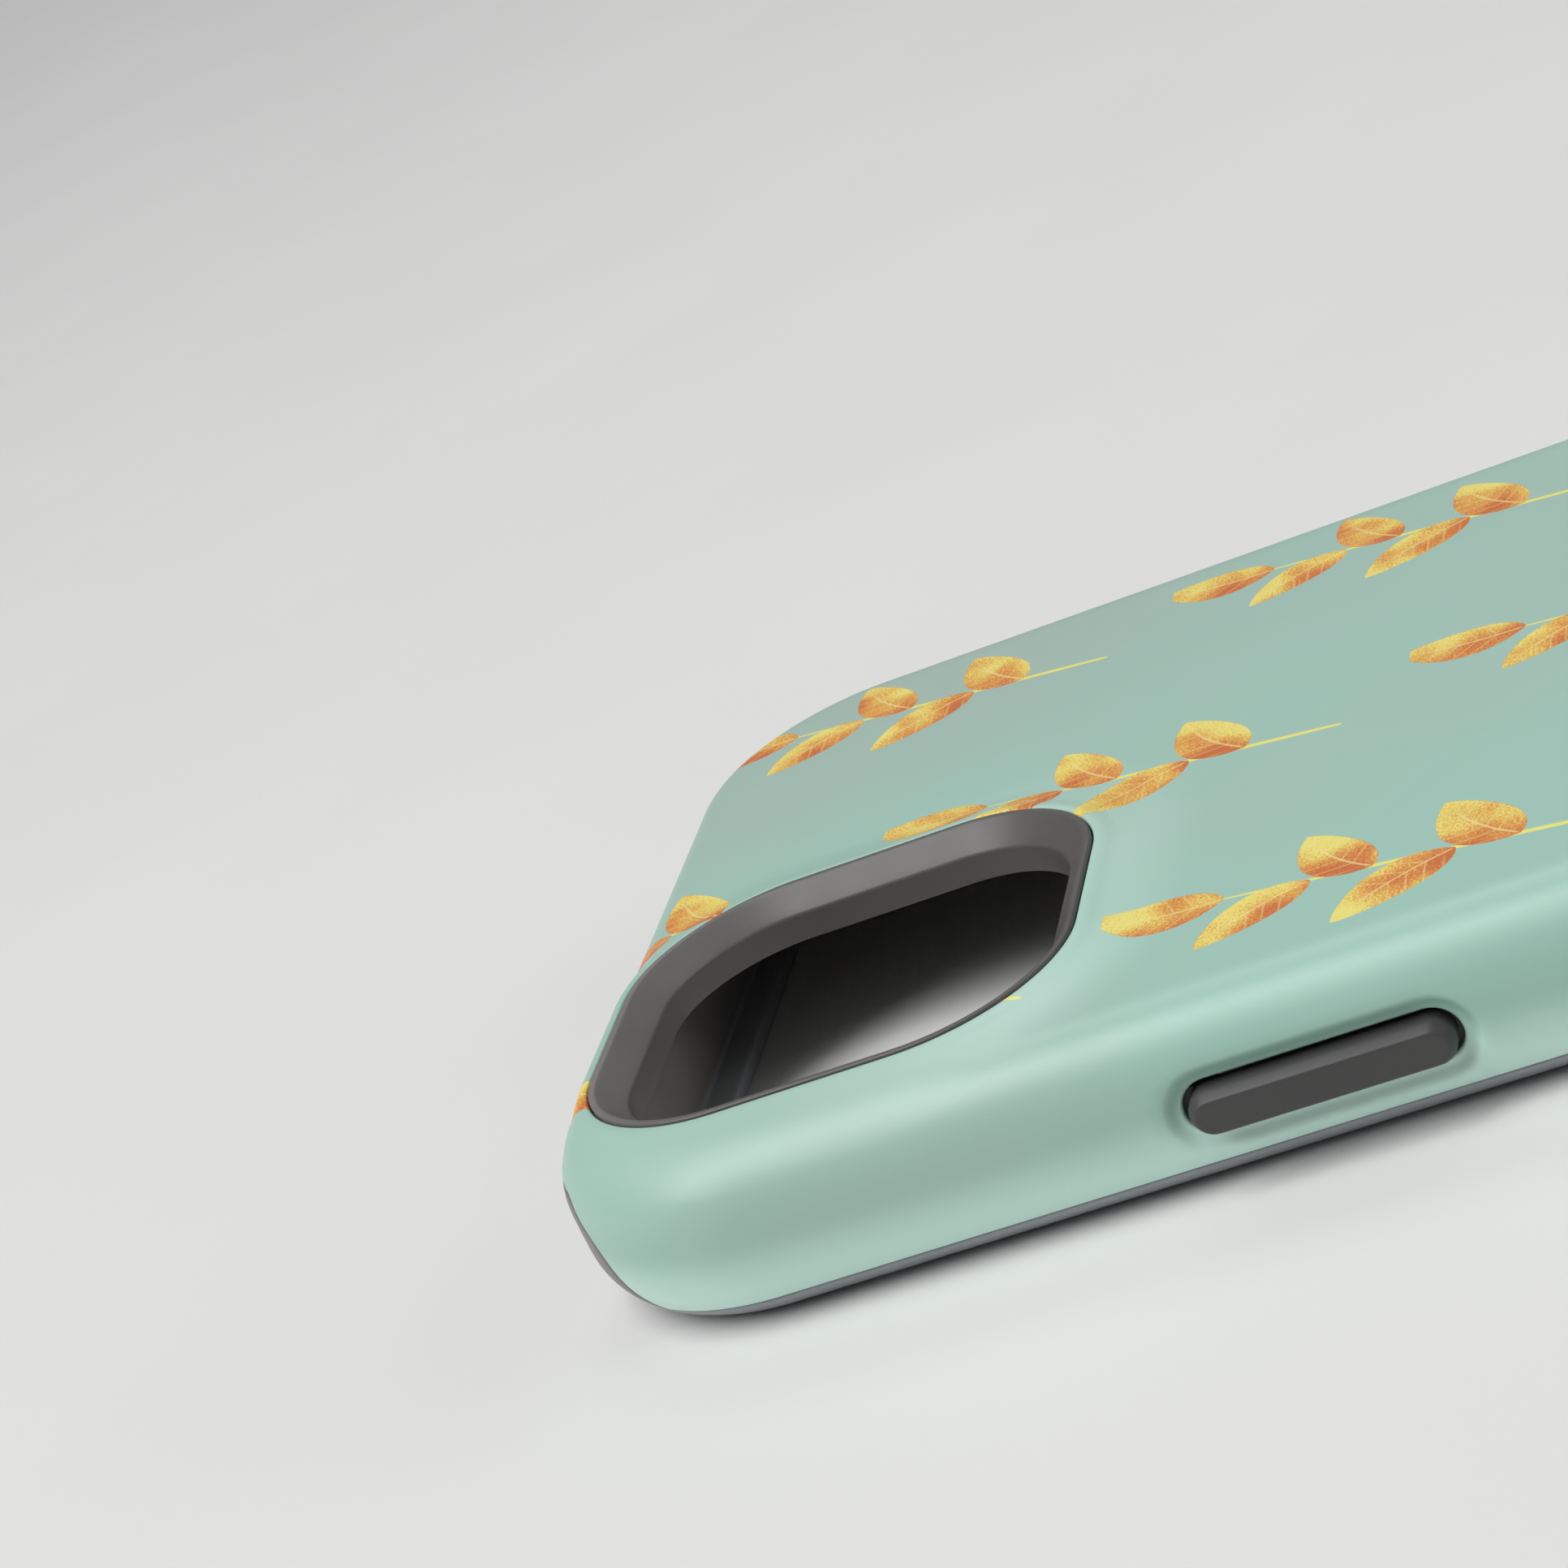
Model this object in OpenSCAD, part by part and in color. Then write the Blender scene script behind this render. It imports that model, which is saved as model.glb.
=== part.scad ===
// Two-layer phone case: a hard outer shell over a soft inner liner, with three side buttons.
// It lies open side down. The rim is on z = 0 and the back of the case faces +Z.
// +Y runs to the end with the camera opening, -Y to the charging end.
// -X is the side with the power button, +X the side with the volume buttons.

/* [Phone] */
// Width of the phone that the case holds
phone_w = 71.5; // [70:0.1:73]
// Length of the phone
phone_l = 146.7; // [145:0.1:149]
// Thickness of the phone
phone_t = 7.8; // [7.4:0.1:8.2]
// Plan radius of the phone's corners
phone_corner_r = 12; // [11:0.5:12.5]
// Play between the phone and the liner on every side
phone_play = 0.1; // [0.05:0.05:0.2]

/* [Case body] */
// Thickness of both layers together on the long sides
side_wall = 2.65; // [2.6:0.05:2.8]
// Thickness of both layers together on the two ends
end_wall = 3.05; // [3:0.05:3.3]
// Thickness of both layers together on the back
back_wall = 2.8; // [2.6:0.1:3.2]
// Thickness of the hard shell
shell_wall = 1.3; // [1.2:0.05:1.3]
// Height of the front lip below the phone's screen
lip_h = 1.4; // [1:0.1:1.8]
// How far the front lip reaches over the screen
lip_reach = 2; // [1.5:0.1:2.2]
// Plan radius of the outer corners
corner_r = 14.7; // [14:0.1:16]
// Radius of the edge between the sides and the back
back_edge_r = 4.2; // [3.8:0.1:4.6]
// Radius of the lower half of the sides
side_low_r = 5.3; // [5.2:0.1:6]
// Height at which the sides are widest
side_mid_z = 5; // [4.5:0.1:5.2]

/* [Shell edge] */
// Height of the shell's lower edge on the long sides
rim_z = 1.7; // [1.5:0.1:2]
// Height of the shell's lower edge across both ends
bumper_z = 9.3; // [9:0.05:9.5]
// Extra height of that edge over the charging port
hump_rise = 1; // [0.6:0.1:1.2]
// Half of the flat length of the hump over the port
hump_flat = 3.4; // [3:0.1:4.5]
// Length of each ramp of the hump
hump_ramp = 3.4; // [2.5:0.1:4]
// Angle round a corner, from the end, where the edge starts to fall
fall_from = 26; // [20:1:30]
// Angle round a corner, from the end, where the edge has reached the rim height
fall_to = 53; // [48:1:70]

/* [Camera opening] */
// Distance of the opening's centre from the long axis, towards the power button
camera_x = 16.3; // [15.5:0.1:16.5]
// Distance of the opening's centre from the camera end
camera_from_end = 19.9; // [19.9:0.1:21]
// Width of the opening in the shell
camera_w = 32.7; // [31:0.1:33]
// Length of the opening in the shell
camera_l = 33.7; // [32:0.1:33.8]
// Corner radius of the opening in the shell
camera_r = 11; // [9:0.5:13]
// Height of the raised lip round the opening
camera_lip_h = 0.7; // [0.4:0.05:0.8]
// Width of the raised lip
camera_lip_w = 1.8; // [1.2:0.1:1.8]
// Gap between the shell and the liner's collar
collar_gap = 0.12; // [0.1:0.01:0.2]
// How far the top of the collar stands above the back
collar_proud = 0.8; // [0.4:0.05:0.9]
// Width of the collar's flat top
collar_top_w = 0.45; // [0.3:0.05:0.8]
// Width and depth of the collar's slope
collar_slope = 1.55; // [1:0.05:1.8]

/* [Charging end] */
// Width of the charging port opening
port_w = 13.6; // [12:0.1:15]
// Height of the charging port opening
port_h = 6; // [5.5:0.1:6.2]
// Height of the centre of the charging port opening
port_z = 5.9; // [5.5:0.1:5.9]
// Distance of the nearer edge of the sound slots from the centre
slot_from = 9; // [8.5:0.1:10]
// Length of the speaker slot
speaker_l = 13.4; // [10:0.1:15]
// Length of the microphone slot
mic_l = 10; // [8:0.1:13]
// Height of the sound slots
slot_h = 3.3; // [2.5:0.1:4]
// Height of the centre of the sound slots
slot_z = 5.65; // [5:0.05:6]

/* [Buttons] */
// Distance of the power button's centre from the camera end
power_from_end = 51; // [48:0.1:54]
// Length of the power button
power_l = 16.3; // [14:0.1:18]
// Distance of the volume up button's centre from the camera end
volume_up_from_end = 43.7; // [43:0.1:44]
// Distance of the volume down button's centre from the camera end
volume_down_from_end = 59.7; // [59:0.1:62]
// Length of each volume button
volume_l = 10.8; // [9:0.1:11]
// Distance of the centre of the silent-switch opening from the camera end
switch_from_end = 29.3; // [28:0.1:29.5]
// Length of the silent-switch opening in the liner
switch_l = 9.6; // [9:0.1:10]
// Height of the silent-switch opening in the liner
switch_h = 5.2; // [5:0.1:5.4]
// Height of the centres of the buttons and the switch opening
button_z = 5.6; // [5.5:0.1:5.7]
// Height of a button's cap
cap_h = 2.9; // [2.6:0.1:3]
// How far a button stands out from the side of the shell
cap_proud = 0.9; // [0.6:0.1:1.1]
// Clearance round a cap in the shell
cap_gap = 0.4; // [0.3:0.05:0.4]
// Travel of a button when it is pressed
cap_travel = 0.35; // [0.25:0.05:0.35]

/* [Hidden] */
$fn = 96;

case_half_w = phone_w / 2 + phone_play + side_wall;
case_half_l = phone_l / 2 + phone_play + end_wall;
case_h = lip_h + phone_t + back_wall;
seat_z = lip_h + phone_t;
cavity_half_w = phone_w / 2 + phone_play;
cavity_half_l = phone_l / 2 + phone_play;
cavity_r = phone_corner_r + phone_play;
liner_half_w = case_half_w - shell_wall;
camera_y = case_half_l - camera_from_end;
over = 1;                  // how far a cutter runs past the surface that it cuts
flange_ear = 1.9;          // how far a button's flange runs past its cap at each end
flange_h = 2.4;
flange_t = 0.35;
flange_gap = 0.15;         // between the flange and the shell, and the liner when pressed
flange_room = 0.4;         // round the flange in its pocket
stem_inset = 3.6;          // how much shorter a stem is than its cap
stem_h = 1.6;
dish_w = 1.2;              // width of the shallow dish in the shell round a button
dish_depth = 0.4;
switch_flare = 1.2;        // how much larger the silent-switch opening is in the shell
shell_colour = [0.66, 0.80, 0.73];
liner_colour = [0.35, 0.35, 0.34];
button_colour = [0.27, 0.27, 0.27];

// 0 to 1 along a smooth S
function ease(t) = (1 - cos(180 * t)) / 2;

// x of the outer surface at an angle round a corner, 0 facing the end and 90 facing the side
function corner_x(angle) = case_half_w - corner_r + corner_r * sin(angle);

// Right half of the shell's lower edge over an end, where it falls to the rim round the corner
corner_edge = [for (i = [0:16]) let (t = i / 16)
    [corner_x(fall_from + t * (fall_to - fall_from)), bumper_z - (bumper_z - rim_z) * ease(t)]];

// The same edge with the hump over the charging port
hump_edge = concat(
    [for (i = [0:8]) let (t = i / 8)
        [hump_flat + t * hump_ramp, bumper_z + hump_rise * (1 - ease(t))]],
    corner_edge);

// Solid with a rounded rectangle as its plan. The 2D child is its edge, drawn from a corner's axis.
module swept(half_w, half_l, r, z_low, z_high) {
    x = half_w - r;
    y = half_l - r;
    translate([-x, -y, z_low]) cube([2 * x, 2 * y, z_high - z_low]);
    for (side = [0, 1]) rotate([0, 0, 180 * side]) {
        translate([x, y, 0]) rotate([90, 0, 0]) linear_extrude(2 * y) children();
        translate([-x, y, 0]) rotate([90, 0, 90]) linear_extrude(2 * x) children();
        translate([x, y, 0]) rotate_extrude() children();
        translate([-x, y, 0]) rotate_extrude() children();
    }
}

// Edge of the case body, moved inwards by inset
module body_edge(inset) {
    reach = corner_r - inset;
    top = case_h - inset;
    top_r = back_edge_r - inset;
    low_r = side_low_r - inset;
    difference() {
        square([reach, top]);
        translate([reach - top_r, top - top_r]) difference() {
            square(top_r + over);
            circle(top_r);
        }
        translate([reach - low_r, -over]) difference() {
            square([low_r + over, side_mid_z + over]);
            translate([0, side_mid_z + over]) circle(low_r);
        }
    }
}

// Outer form of the case, moved inwards by inset
module body(inset) {
    swept(case_half_w - inset, case_half_l - inset, corner_r - inset, 0, case_h - inset)
        body_edge(inset);
}

// Plain rounded-rectangle plug from z_low to z_high
module plug(half_w, half_l, r, z_low, z_high) {
    swept(half_w, half_l, r, z_low, z_high)
        translate([0, z_low]) square([r, z_high - z_low]);
}

// Bumper space below the shell's lower edge at an end, from y_from to y_from + corner_r + over
module end_space(edge, y_from) {
    wide = case_half_w + over;
    outline = concat(
        [[-wide, -over], [-wide, rim_z]],
        [for (i = [len(edge) - 1:-1:0]) [-edge[i][0], edge[i][1]]],
        edge,
        [[wide, rim_z], [wide, -over]]);
    translate([0, y_from + corner_r + over, 0]) rotate([90, 0, 0])
        linear_extrude(corner_r + over) polygon(outline);
}

// Space below the shell's lower edge: the rim strip and the bumpers at both ends
module rim_space() {
    translate([-case_half_w - over, -case_half_l - over, -over])
        cube([2 * (case_half_w + over), 2 * (case_half_l + over), rim_z + over]);
    end_space(hump_edge, -case_half_l - over);
    end_space(corner_edge, case_half_l - corner_r);
}

// Hollow that the phone fills, with the mouth that the front lip leaves
module phone_space() {
    plug(cavity_half_w, cavity_half_l, cavity_r, lip_h, seat_z);
    plug(cavity_half_w - lip_reach, cavity_half_l - lip_reach, cavity_r - lip_reach,
        -over, lip_h + over);
}

// Camera opening as it is in the shell, moved inwards by inset
module camera_plug(inset, z_low, z_high) {
    translate([-camera_x, camera_y, 0])
        plug(camera_w / 2 - inset, camera_l / 2 - inset, camera_r - inset, z_low, z_high);
}

// Raised lip of the shell round the camera opening. Near the camera end it follows the back edge.
module camera_lip() {
    slope = 0.7 * camera_lip_w;
    outer_r = camera_r + camera_lip_w;
    intersection() {
        translate([-camera_x, camera_y, 0])
            swept(camera_w / 2 + camera_lip_w, camera_l / 2 + camera_lip_w, outer_r,
                case_h - shell_wall, case_h + camera_lip_h)
                polygon([[0, case_h - shell_wall], [outer_r, case_h - shell_wall], [outer_r, case_h],
                    [outer_r - slope, case_h + camera_lip_h], [0, case_h + camera_lip_h]]);
        translate([0, 0, camera_lip_h + 0.05]) body(0);
    }
}

// Hole through the liner's collar: straight at the bottom, sloped open at the top
module collar_hole() {
    hole_inset = collar_gap + collar_top_w + collar_slope;
    hole_r = camera_r - hole_inset;
    top = case_h + collar_proud;
    translate([-camera_x, camera_y, 0])
        swept(camera_w / 2 - hole_inset, camera_l / 2 - hole_inset, hole_r, seat_z - over, top + over)
            polygon([[0, seat_z - over], [hole_r, seat_z - over], [hole_r, top - collar_slope],
                [hole_r + collar_slope, top], [hole_r + collar_slope, top + over], [0, top + over]]);
}

// Pill-shaped bar along Y, from x_in to x_out on the +X side
module pill_bar(length, height, x_in, x_out) {
    reach = (length - height) / 2;
    translate([x_in, 0, button_z]) rotate([90, 0, 90]) linear_extrude(x_out - x_in) {
        square([2 * reach, height], center = true);
        for (side = [-1, 1]) translate([side * reach, 0]) circle(d = height);
    }
}

// Slot through the charging end, centred on x
module end_slot(x, length, height, z) {
    reach = (length - height) / 2;
    translate([x, -cavity_half_l + over, z]) rotate([90, 0, 0])
        linear_extrude(end_wall + 2 * over) {
            square([2 * reach, height], center = true);
            for (side = [-1, 1]) translate([side * reach, 0]) circle(d = height);
        }
}

// Opening in the shell for a button's cap, with a shallow dish round it
module cap_opening(length) {
    pill_bar(length + 2 * cap_gap, cap_h + 2 * cap_gap, liner_half_w - over, case_half_w + over);
    pill_bar(length + 2 * dish_w, cap_h + 2 * dish_w, case_half_w - dish_depth, case_half_w + over);
}

// Pocket in the liner for a button's flange, with the hole for its stem
module flange_pocket(length) {
    pocket_x = liner_half_w - 2 * flange_gap - flange_t - cap_travel;
    pill_bar(length + 2 * flange_ear + 2 * flange_room, flange_h + 2 * flange_room,
        pocket_x, liner_half_w + over);
    pill_bar(length - stem_inset + 2 * flange_room, stem_h + 2 * flange_room,
        cavity_half_w - over, pocket_x + over);
}

// A button on the +X side: cap, retaining flange and the stem that presses the phone's own button
module button(length) {
    flange_x = liner_half_w - flange_gap;
    pill_bar(length, cap_h, flange_x - flange_t, case_half_w + cap_proud);
    pill_bar(length + 2 * flange_ear, flange_h, flange_x - flange_t, flange_x);
    pill_bar(length - stem_inset, stem_h, cavity_half_w + cap_travel + 0.05, flange_x);
}

// Puts its child, drawn for the +X side, at a distance from the camera end
module on_volume_side(from_end) {
    translate([0, case_half_l - from_end, 0]) children();
}

module on_power_side(from_end) {
    translate([0, case_half_l - from_end, 0]) mirror([1, 0, 0]) children();
}

module outer_shell() {
    color(shell_colour) difference() {
        union() {
            body(0);
            camera_lip();
        }
        body(shell_wall);
        rim_space();
        camera_plug(0, seat_z, case_h + camera_lip_h + over);
        on_power_side(power_from_end) cap_opening(power_l);
        on_volume_side(volume_up_from_end) cap_opening(volume_l);
        on_volume_side(volume_down_from_end) cap_opening(volume_l);
        on_volume_side(switch_from_end)
            pill_bar(switch_l + switch_flare, switch_h + switch_flare,
                liner_half_w - over, case_half_w + over);
    }
}

module inner_liner() {
    color(liner_colour) difference() {
        union() {
            body(shell_wall);
            intersection() {
                body(0);
                rim_space();
            }
            camera_plug(collar_gap, seat_z, case_h + collar_proud);
        }
        phone_space();
        collar_hole();
        end_slot(0, port_w, port_h, port_z);
        end_slot(-slot_from - speaker_l / 2, speaker_l, slot_h, slot_z);
        end_slot(slot_from + mic_l / 2, mic_l, slot_h, slot_z);
        on_power_side(power_from_end) flange_pocket(power_l);
        on_volume_side(volume_up_from_end) flange_pocket(volume_l);
        on_volume_side(volume_down_from_end) flange_pocket(volume_l);
        on_volume_side(switch_from_end)
            pill_bar(switch_l, switch_h, cavity_half_w - over, case_half_w + over);
    }
}

module power_button() {
    color(button_colour) on_power_side(power_from_end) button(power_l);
}

module volume_up_button() {
    color(button_colour) on_volume_side(volume_up_from_end) button(volume_l);
}

module volume_down_button() {
    color(button_colour) on_volume_side(volume_down_from_end) button(volume_l);
}

outer_shell();
inner_liner();
power_button();
volume_up_button();
volume_down_button();
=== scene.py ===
import math

import bpy
import numpy as np
from mathutils import Matrix, Vector, geometry


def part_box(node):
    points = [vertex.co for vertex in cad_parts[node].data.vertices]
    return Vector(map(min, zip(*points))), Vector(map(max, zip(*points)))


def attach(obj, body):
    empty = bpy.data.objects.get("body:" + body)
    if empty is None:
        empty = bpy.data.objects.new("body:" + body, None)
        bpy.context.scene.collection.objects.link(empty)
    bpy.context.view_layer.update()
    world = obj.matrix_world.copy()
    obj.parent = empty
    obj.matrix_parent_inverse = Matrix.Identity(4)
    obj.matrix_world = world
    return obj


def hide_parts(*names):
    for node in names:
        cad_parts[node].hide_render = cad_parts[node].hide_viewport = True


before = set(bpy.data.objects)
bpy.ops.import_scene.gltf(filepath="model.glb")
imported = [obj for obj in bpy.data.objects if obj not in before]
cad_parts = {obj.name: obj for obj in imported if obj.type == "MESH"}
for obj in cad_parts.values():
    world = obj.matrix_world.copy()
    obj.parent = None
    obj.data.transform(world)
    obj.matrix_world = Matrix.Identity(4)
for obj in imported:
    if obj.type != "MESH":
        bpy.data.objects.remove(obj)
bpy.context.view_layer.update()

MM = 0.001

# ---------------------------------------------------------------------------------------------
# Sizes in millimetres, in the frame of the CAD model. Boxes come from the frame; the rest repeats
# the design's own dimensions.

SHELL_BOX = [np.array(corner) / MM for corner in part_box("outer_shell")]
LINER_BOX = [np.array(corner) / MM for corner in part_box("inner_liner")]
LIP_RISE = 0.7                                 # raised lip round the camera opening
HALF_W = SHELL_BOX[1][0]
HALF_L = LINER_BOX[1][1]                       # the liner's bumpers are the two ends
BACK_Z = SHELL_BOX[1][2] - LIP_RISE
RIM_Z = SHELL_BOX[0][2]                        # lower edge of the shell on the sides
COLLAR_Z = LINER_BOX[1][2]                     # top of the liner's collar
CORNER_R = 14.7
EDGE_R = 4.2
LOW_R = 5.3
MID_Z = 5.0
SHELL_WALL = 1.3
SEAT_Z = 9.2                                   # inner face of the liner's back
LIP_Z = 1.4                                    # top of the front lip
FLAT_INSET = 6.2                               # the flat back ends this far inside the sides
FLAT_R = CORNER_R - FLAT_INSET
CORNER = np.array([HALF_W - CORNER_R, HALF_L - CORNER_R])

BUMPER_Z = 9.3                                 # lower edge of the shell over both ends
HUMP_RISE = 1.0                                # over the charging port
HUMP_FLAT = 3.4
HUMP_RAMP = 3.4
FALL_FROM, FALL_TO = math.radians(26), math.radians(53)

CAMERA = np.array([-16.3, HALF_L - 19.9])      # centre of the camera opening
CAMERA_HALF = np.array([16.35, 16.85])
CAMERA_R = 11.0
COLLAR_GAP = 0.12
COLLAR_TOP_W = 0.45
COLLAR_SLOPE = 1.55

BUTTON_Z = 5.6
CAP_H = 2.9
CAP_GAP = 0.4
CAP_PROUD = 0.9
CAP_CHAMFER = [                                # distance in from the cap's side, depth below its face
    (0.0, 0.8), (0.02, 0.72), (0.06, 0.62), (0.34, 0.1), (0.4, 0.03), (0.47, 0.0)]
CAP_FACE_INSET = 1.5                           # the face's last ring is this much smaller than the cap
STEM_SHORTER = 3.6                             # than the cap
STEM_H = 1.6
STEM_DEPTH = 2.25                              # inner end of the stem, below the outer surface
FLANGE_LONGER = 3.8                            # than the cap
FLANGE_H = 2.4
FLANGE_X = HALF_W - SHELL_WALL - 0.15          # outer face of a button's flange
FLANGE_T = 0.35
POCKET_DEPTH = 2.3                             # floor of a flange pocket, below the outer surface
POCKET_ROOM = 4.6                              # how much longer a pocket is than its button
POCKET_H = 4.0
BUTTONS = [                                    # node, side, place along the case, length
    ("power_button", -1, HALF_L - 51.0, 16.3),
    ("volume_up_button", 1, HALF_L - 43.7, 10.8),
    ("volume_down_button", 1, HALF_L - 59.7, 10.8),
]
SWITCH = (1, HALF_L - 29.3, 9.6, 5.2)          # side, place, length and height in the liner
SWITCH_FLARE = 1.2
END_SLOTS = [                                  # centre x, centre z, length, height
    (0.0, 5.9, 13.6, 6.0),
    (-15.7, 5.65, 13.4, 3.3),
    (14.0, 5.65, 10.0, 3.3),
]
HIDDEN_DEPTH = SHELL_WALL + 0.06               # outer face of the liner under the shell
SEAM = 0.07                                    # half of the open seam between shell and liner
STEP_IN = 0.015                                # a step down in a sheet takes this much of the map
LIP_RINGS = (0.35, 0.5, 0.68, 0.9, 1.15, 1.42, 1.7, 2.05)   # distances from the camera opening
LIP_POINTS = (2.5, 3.1, 3.8, 4.6)
CREST, SKIRT = 0.28, 0.72                      # shares of the lip's height


def ease(t):
    """0 to 1 along a smooth S."""
    t = np.clip(t, 0.0, 1.0)
    return (1 - np.cos(np.pi * t)) / 2


# ---------------------------------------------------------------------------------------------
# The outer surface. A flat map of it has the back in the middle and the sides folded out round it;
# distance across the sides is true in the map. u is that distance from the end of the flat back.

def side_profile():
    """Arc length, outward reach, height and slope angle down the side, with no jump in curvature."""
    step = 0.01
    soften = int(1.7 / step)
    flat = FLAT_INSET - EDGE_R
    arc_1 = EDGE_R * math.pi / 2
    straight = BACK_Z - EDGE_R - MID_Z
    arc_2 = LOW_R * math.asin(MID_Z / LOW_R)
    u = np.arange(0.0, flat + arc_1 + straight + arc_2, step)
    turn = np.clip((u - flat) / EDGE_R, 0, math.pi / 2)
    turn += np.clip((u - flat - arc_1 - straight) / LOW_R, 0, None)
    padded = np.pad(turn, soften // 2, mode="edge")
    turn = np.convolve(padded, np.ones(soften) / soften, mode="valid")[:len(u)]
    reach = np.cumsum(np.cos(turn)) * step
    fall = np.cumsum(np.sin(turn)) * step
    reach *= FLAT_INSET / reach.max()
    fall *= BACK_Z / fall[-1]
    return u, reach, BACK_Z - fall, turn


PROFILE_U, PROFILE_REACH, PROFILE_Z, PROFILE_TURN = side_profile()
U_END = PROFILE_U[-1]
WIDEST = int(np.argmax(PROFILE_REACH))


def u_at_z(z):
    """u of the place on the side that is at this height."""
    return np.interp(-np.asarray(z, float), -PROFILE_Z, PROFILE_U)


class Place:
    """Where points of the flat map lie on the outer surface, with the directions there."""

    def __init__(self, flat):
        flat = np.asarray(flat, float)
        sign = np.where(flat < 0, -1.0, 1.0)
        quadrant = np.abs(flat)
        out = np.maximum(quadrant - CORNER, 0)
        r = np.hypot(out[:, 0], out[:, 1])
        n = out / np.maximum(r, 1e-9)[:, None]
        self.u = r - FLAT_R
        on_side = self.u > 0
        reach = np.where(on_side, np.interp(self.u, PROFILE_U, PROFILE_REACH), self.u)
        turn = np.where(on_side, np.interp(self.u, PROFILE_U, PROFILE_TURN), 0)
        plan = np.minimum(quadrant, CORNER) + n * np.where(r > 0, FLAT_R + reach, 0)[:, None]
        self.n = n * sign
        self.plan = plan * sign
        self.corner = np.minimum(quadrant, CORNER) * sign
        self.z = np.where(on_side, np.interp(self.u, PROFILE_U, PROFILE_Z), BACK_Z)
        self.turn = turn
        self.on_side = on_side
        self.squeeze = np.where((out > 0).all(axis=1) & on_side,
                                (FLAT_R + reach) / np.maximum(r, 1e-9), 1.0)

    def points(self):
        return np.column_stack([self.plan, self.z])

    def normals(self):
        return np.column_stack([self.n * np.sin(self.turn)[:, None], np.cos(self.turn)])

    def step(self, move):
        """The move in the flat map that makes a small 3D move along the surface."""
        down = np.column_stack([self.n * np.cos(self.turn)[:, None], -np.sin(self.turn)])
        across = np.column_stack([-self.n[:, 1], self.n[:, 0]])
        along_u = (move * down).sum(axis=1)
        along_s = (move[:, :2] * across).sum(axis=1) / self.squeeze
        wrapped = self.n * along_u[:, None] + across * along_s[:, None]
        return np.where(self.on_side[:, None], wrapped, move[:, :2])


def flat_from_plan(plan):
    """The flat map's point under a point of the back seen from above."""
    sign = np.where(plan < 0, -1.0, 1.0)
    quadrant = np.abs(plan)
    out = np.maximum(quadrant - CORNER, 0)
    r = np.hypot(out[:, 0], out[:, 1])
    reach = r - FLAT_R
    u = np.where(reach > 0, np.interp(reach, PROFILE_REACH[:WIDEST], PROFILE_U[:WIDEST]), reach)
    n = out / np.maximum(r, 1e-9)[:, None]
    return (np.minimum(quadrant, CORNER) + n * np.where(r > 0, FLAT_R + u, 0)[:, None]) * sign


def flat_on_side(side, along, z):
    """The flat map's point on a long side, at a place along the case and a height."""
    return np.column_stack([side * (CORNER[0] + FLAT_R + u_at_z(z)), along])


def flat_on_charging_end(x, z):
    """The flat map's point on the charging end, at a width and a height."""
    return np.column_stack([x, -(CORNER[1] + FLAT_R + u_at_z(z))])


def rounded_loop(half_a, half_b, r, arc_step, line_step):
    """Closed loop of points round a rounded rectangle, counter-clockwise."""
    arc_count = max(2, int(math.ceil(math.pi / 2 * r / arc_step)))
    points = []
    for quarter in range(4):
        start = quarter * math.pi / 2
        sx = 1 if quarter in (0, 3) else -1
        sy = 1 if quarter in (0, 1) else -1
        centre = np.array([sx * (half_a - r), sy * (half_b - r)])
        angles = start + np.linspace(0, math.pi / 2, arc_count + 1)
        points.append(centre + r * np.column_stack([np.cos(angles), np.sin(angles)]))
        line = 2 * (half_b - r) if quarter in (1, 3) else 2 * (half_a - r)
        if line > 1e-6:
            count = max(1, int(round(line / line_step)))
            t = (np.arange(1, count) / count)[:, None]
            direction = np.array([-math.sin(start + math.pi / 2), math.cos(start + math.pi / 2)])
            points.append(points[-1][-1] + direction * t * line)
        else:
            points[-1] = points[-1][:-1]
    return np.concatenate(points)


def pill_loop(length, height, grow=0.0, step=0.3):
    """Closed loop round a slot with round ends."""
    r = height / 2 + grow
    return rounded_loop(length / 2 + grow, r, r, step, 2 * step)


def loop_distance(points, half_a, half_b, r):
    """Signed distance from a rounded rectangle round the origin, positive outside it."""
    q = np.abs(points) - np.array([half_a - r, half_b - r])
    outside = np.hypot(np.maximum(q[:, 0], 0), np.maximum(q[:, 1], 0))
    return outside + np.minimum(q.max(axis=1), 0) - r


def camera_distance(plan):
    """Signed distance from the camera opening's edge, seen from above."""
    return loop_distance(plan - CAMERA, CAMERA_HALF[0], CAMERA_HALF[1], CAMERA_R)


def camera_loop(grow, step=0.5):
    """The camera opening's edge on the flat map, moved outwards by grow."""
    plan = CAMERA + rounded_loop(CAMERA_HALF[0] + grow, CAMERA_HALF[1] + grow, CAMERA_R + grow,
                                 step, 2 * step)
    return flat_from_plan(plan)


def side_pill(side, along, length, height, grow=0.0, step=0.3):
    loop = pill_loop(length, height, grow, step)
    return flat_on_side(side, along + loop[:, 0], BUTTON_Z + loop[:, 1])


def end_pill(slot, grow=0.0, step=0.3):
    x, z, length, height = slot
    loop = pill_loop(length, height, grow, step)
    return flat_on_charging_end(x + loop[:, 0], z + loop[:, 1])


# ---------------------------------------------------------------------------------------------
# The seam: the shell's lower edge, which runs just above the rim and rises over both ends.

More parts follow.
